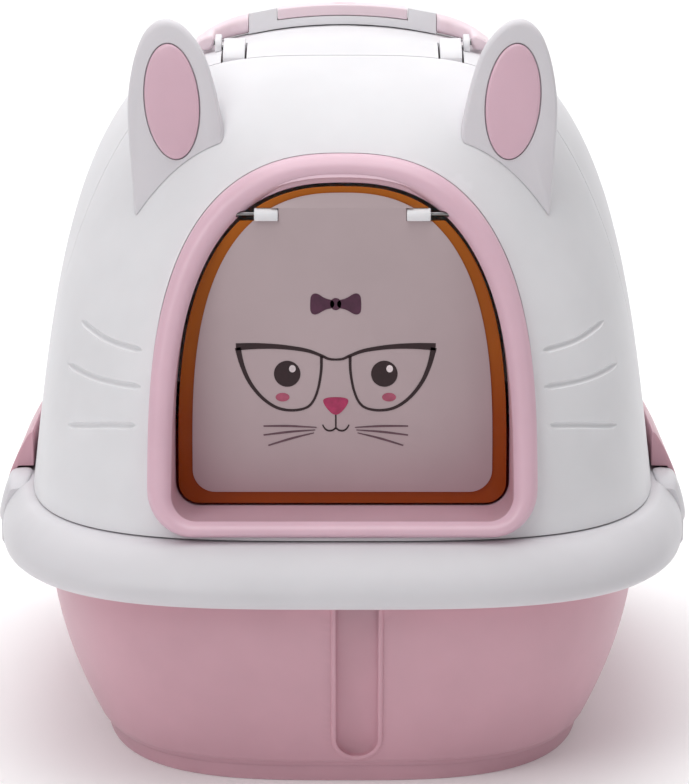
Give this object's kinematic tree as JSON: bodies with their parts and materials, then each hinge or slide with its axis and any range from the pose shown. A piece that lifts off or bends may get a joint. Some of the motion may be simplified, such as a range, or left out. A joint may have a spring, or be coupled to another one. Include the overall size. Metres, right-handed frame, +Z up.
{
  "type": "hooded cat litter box",
  "caption": "Oval litter pan with a domed two-part hood, flip-up front, swinging arched flap, cat ears, side latches and a folding carry handle.",
  "frame": {"origin": "centre of the footprint, on the floor", "axes": "+Z up, -Y towards the door, +X to the right as seen from in front"},
  "size_m": [0.4166, 0.4986, 0.429],
  "materials": {
    "white_shell": "satin moulded white polypropylene",
    "ear_white": "satin moulded off-white polypropylene",
    "pink_shell": "satin moulded pink polypropylene",
    "frame_pink": "satin moulded light pink polypropylene",
    "pale_pink": "satin moulded pale pink polypropylene",
    "amber_tint": "polished tinted see-through plastic",
    "frosted_panel": "frosted printed film",
    "steel_pin": "drawn wire pin"
  },
  "bodies": {
    "base": {"pan": "pink_shell", "rim_ring": "white_shell", "latch_pin_left": "steel_pin", "latch_pin_right": "steel_pin"},
    "hood": {"hood_rear": "white_shell", "top_bracket_left": "white_shell", "top_bracket_right": "white_shell", "lid_hinge_pin_left": "steel_pin", "lid_hinge_pin_right": "steel_pin", "handle_pin_left": "steel_pin", "handle_pin_right": "steel_pin"},
    "lid": {"hood_front": "white_shell", "door_frame": "frame_pink", "ear_left": "ear_white", "ear_right": "ear_white", "ear_insert_left": "frame_pink", "ear_insert_right": "frame_pink", "lid_hinge_arm_left": "white_shell", "lid_hinge_arm_right": "white_shell"},
    "flap_door": {"flap": "amber_tint", "flap_panel": "frosted_panel", "flap_tab_left": "white_shell", "flap_tab_right": "white_shell", "flap_pin_left": "steel_pin", "flap_pin_right": "steel_pin"},
    "carry_handle": {"handle_arm_left": "pale_pink", "handle_arm_right": "pale_pink", "handle_grip": "white_shell", "handle_cover": "pale_pink"},
    "lever_left": {"latch_left": "pink_shell"},
    "lever_right": {"latch_right": "pink_shell"}
  },
  "joints": [
    {"name": "hood_lift", "type": "slide", "parent": "base", "child": "hood", "axis": [0, 0, 1], "range_m": [0, 0.12]},
    {"name": "lid_hinge", "type": "hinge", "parent": "hood", "child": "lid", "pos_m": [0, -0.047, 0.4055], "axis": [-1, 0, 0], "range_deg": [0, 75]},
    {"name": "flap_swing", "type": "hinge", "parent": "lid", "child": "flap_door", "pos_m": [0, -0.1585, 0.3235], "axis": [1, 0, 0], "range_deg": [-70, 70]},
    {"name": "handle_swing", "type": "hinge", "parent": "hood", "child": "carry_handle", "pos_m": [0, -0.041, 0.408], "axis": [1, 0, 0], "range_deg": [0, 90]},
    {"name": "latch_left_swing", "type": "hinge", "parent": "base", "child": "lever_left", "pos_m": [-0.2048, 0, 0.126], "axis": [0, -1, 0], "range_deg": [0, 80]},
    {"name": "latch_right_swing", "type": "hinge", "parent": "base", "child": "lever_right", "pos_m": [0.2048, 0, 0.126], "axis": [0, 1, 0], "range_deg": [0, 80]}
  ]
}
